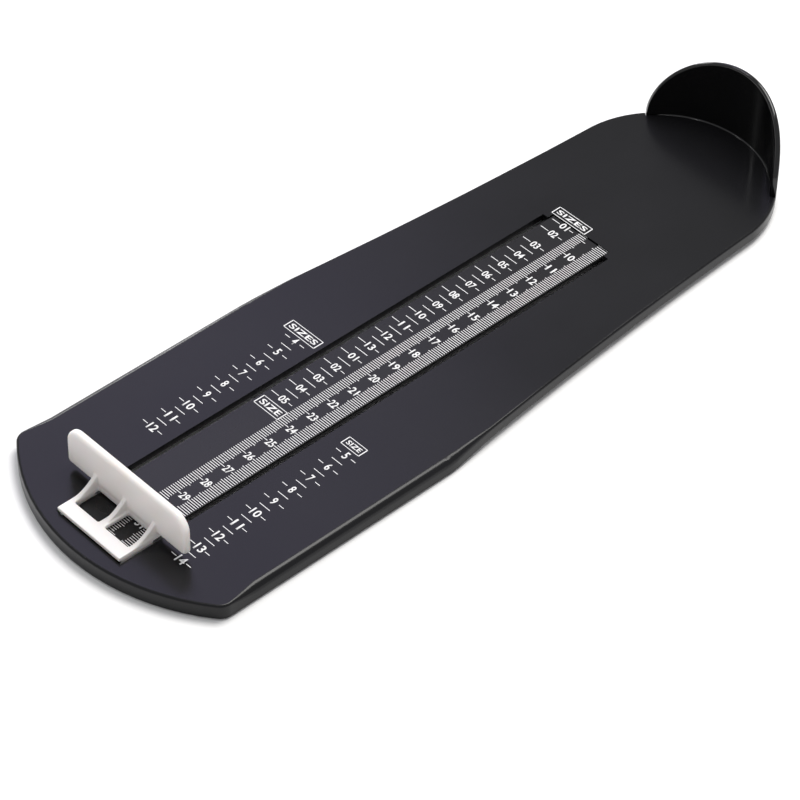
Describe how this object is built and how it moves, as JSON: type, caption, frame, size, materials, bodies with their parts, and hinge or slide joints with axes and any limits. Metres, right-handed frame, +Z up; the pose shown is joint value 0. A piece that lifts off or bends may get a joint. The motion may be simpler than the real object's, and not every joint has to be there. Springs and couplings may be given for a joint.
{
  "type": "foot length gauge",
  "caption": "Flat moulded foot plate with a raised heel cup, a printed length scale between two slots and a sliding toe stop with a windowed finger grip.",
  "frame": {"origin": "middle of the plate's length and width, on the plane that the rubber feet stand on", "axes": "+Y along the plate towards the heel cup, +Z up through the plate's measuring face, +X across the plate"},
  "size_m": [0.1134, 0.3372, 0.0385],
  "materials": {
    "plate": "satin black moulding",
    "strip": "satin black with white printing",
    "cup": "polished black moulding",
    "stop": "ivory white moulding",
    "shoe": "grey sliding shoe",
    "foot": "black rubber",
    "screw": "zinc plated"
  },
  "bodies": {
    "base": {"foot_plate": "plate", "scale_strip": "strip", "heel_cup": "cup", "cup_screw_1": "screw", "cup_screw_2": "screw", "cup_screw_3": "screw", "foot_1": "foot", "foot_2": "foot", "foot_3": "foot", "foot_4": "foot", "foot_5": "foot", "foot_6": "foot"},
    "stop": {"toe_stop": "stop", "shoe_left": "shoe", "shoe_right": "shoe"}
  },
  "joints": [
    {"name": "toe_stop_slide", "type": "slide", "parent": "base", "child": "stop", "axis": [0, 1, 0], "range_m": [-0.001, 0.2215]}
  ]
}
